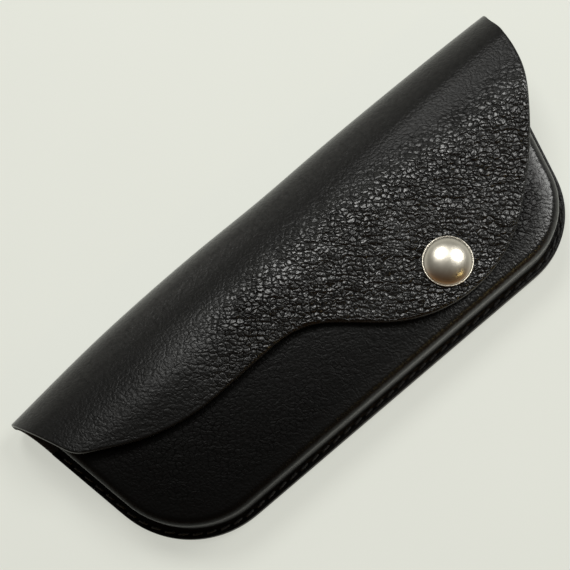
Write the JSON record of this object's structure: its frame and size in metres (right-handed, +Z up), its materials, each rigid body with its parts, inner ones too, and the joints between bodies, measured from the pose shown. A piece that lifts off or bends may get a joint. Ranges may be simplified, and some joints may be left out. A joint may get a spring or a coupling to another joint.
{
  "type": "spectacles case",
  "caption": "Moulded black leather spectacles case: a raised pocket on a stitched flange, closed by a wavy flap that rolls over the spine and holds with a domed snap.",
  "frame": {"origin": "centre of the case's footprint on the surface it lies on, back panel down", "axes": "+X along the rolled spine towards the snap's end; +Y from the bottom seam to the spine; +Z up, out of the moulded front"},
  "size_m": [0.182, 0.0685, 0.0252],
  "materials": {
    "leather": "pebbled full-grain, semi-gloss black",
    "snap_nickel": "bright nickel plate",
    "spring_steel": "bare spring wire",
    "thread": "waxed black thread"
  },
  "bodies": {
    "pouch": {"back_panel": "leather", "front_panel": "leather", "snap_stud": "snap_nickel", "snap_eyelet": "snap_nickel", "seam_thread_front": "thread", "seam_thread_back": "thread"},
    "spine_1": {"spine_strip_1": "leather"},
    "spine_2": {"spine_strip_2": "leather"},
    "spine_3": {"spine_strip_3": "leather"},
    "spine_4": {"spine_strip_4": "leather"},
    "spine_5": {"spine_strip_5": "leather"},
    "spine_6": {"spine_strip_6": "leather"},
    "flap": {"flap": "leather", "snap_cap": "snap_nickel", "snap_cap_post": "snap_nickel", "snap_socket": "snap_nickel", "socket_spring": "spring_steel"}
  },
  "joints": [
    {"name": "spine_bend_1", "type": "hinge", "parent": "pouch", "child": "spine_1", "pos_m": [0, 0.02539, 0.00116], "axis": [-1, 0, 0], "range_deg": [0, 25]},
    {"name": "spine_bend_2", "type": "hinge", "parent": "spine_1", "child": "spine_2", "pos_m": [0, 0.02947, 0.00312], "axis": [-1, 0, 0], "range_deg": [0, 25]},
    {"name": "spine_bend_3", "type": "hinge", "parent": "spine_2", "child": "spine_3", "pos_m": [0, 0.03229, 0.00666], "axis": [-1, 0, 0], "range_deg": [0, 25]},
    {"name": "spine_bend_4", "type": "hinge", "parent": "spine_3", "child": "spine_4", "pos_m": [0, 0.0333, 0.01107], "axis": [-1, 0, 0], "range_deg": [0, 25]},
    {"name": "spine_bend_5", "type": "hinge", "parent": "spine_4", "child": "spine_5", "pos_m": [0, 0.03229, 0.01549], "axis": [-1, 0, 0], "range_deg": [0, 25]},
    {"name": "spine_bend_6", "type": "hinge", "parent": "spine_5", "child": "spine_6", "pos_m": [0, 0.02947, 0.01903], "axis": [-1, 0, 0], "range_deg": [0, 25]},
    {"name": "spine_bend_7", "type": "hinge", "parent": "spine_6", "child": "flap", "pos_m": [0, 0.02539, 0.02099], "axis": [-1, 0, 0], "range_deg": [0, 25], "deforming": ["socket_spring"]}
  ],
  "couplings": [
    {"joint": "spine_bend_2", "follows": "spine_bend_1", "ratio": 1},
    {"joint": "spine_bend_3", "follows": "spine_bend_1", "ratio": 1},
    {"joint": "spine_bend_4", "follows": "spine_bend_1", "ratio": 1},
    {"joint": "spine_bend_5", "follows": "spine_bend_1", "ratio": 1},
    {"joint": "spine_bend_6", "follows": "spine_bend_1", "ratio": 1},
    {"joint": "spine_bend_7", "follows": "spine_bend_1", "ratio": 1}
  ]
}
